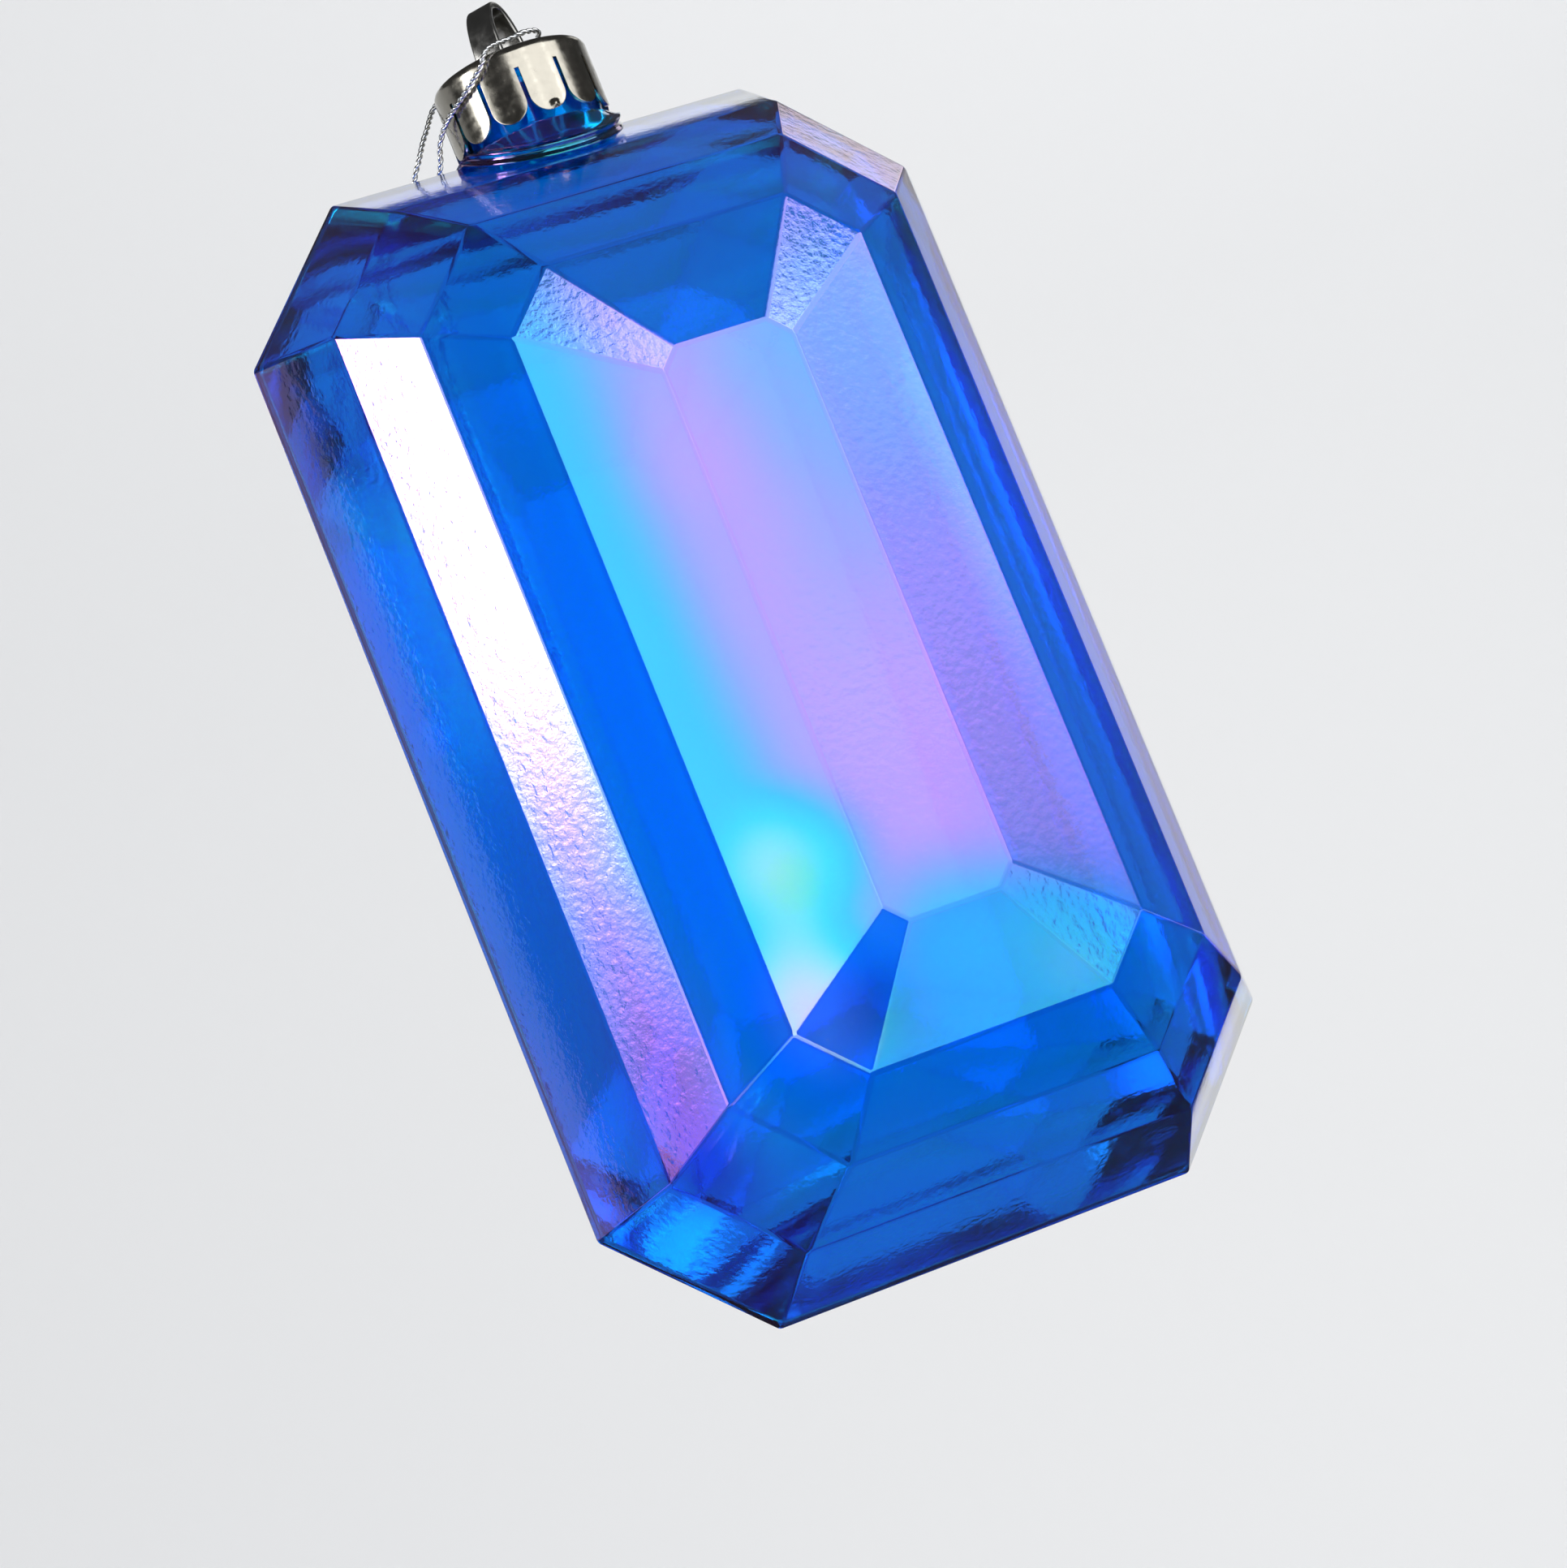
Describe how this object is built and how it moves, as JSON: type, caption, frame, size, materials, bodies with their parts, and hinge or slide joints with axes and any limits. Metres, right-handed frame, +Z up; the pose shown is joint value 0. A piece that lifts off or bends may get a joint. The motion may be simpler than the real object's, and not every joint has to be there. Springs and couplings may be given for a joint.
{
  "type": "faceted jewel hanging ornament",
  "caption": "Hollow step-cut jewel ornament in iridescent blue with a petalled silver cap, a strap hanging loop and a thin metallic cord.",
  "frame": {"origin": "where a hook bears, inside the top of the strap loop, on the ornament's centre line", "axes": "+Z up along the ornament, front table facing -Y, +X across its width to the right seen from the front"},
  "size_m": [0.094, 0.0672, 0.1723],
  "materials": {
    "front_shell": "thin clear moulding, iridescent blue to violet",
    "back_shell": "thin clear moulding, iridescent blue to violet",
    "neck_collar": "clear moulding, iridescent",
    "cap": "polished silver",
    "hanging_loop": "polished silver",
    "cord": "silver metallic thread, twisted",
    "cord_knot": "silver metallic thread, knotted"
  },
  "bodies": {
    "hanger": {"cap": "cap", "hanging_loop": "hanging_loop", "cord": "cord", "cord_knot": "cord_knot"},
    "jewel": {"front_shell": "front_shell", "back_shell": "back_shell", "neck_collar": "neck_collar"}
  },
  "joints": [
    {"name": "cap_pull", "type": "slide", "parent": "hanger", "child": "jewel", "axis": [0, 0, -1], "range_m": [0, 0.012]}
  ]
}
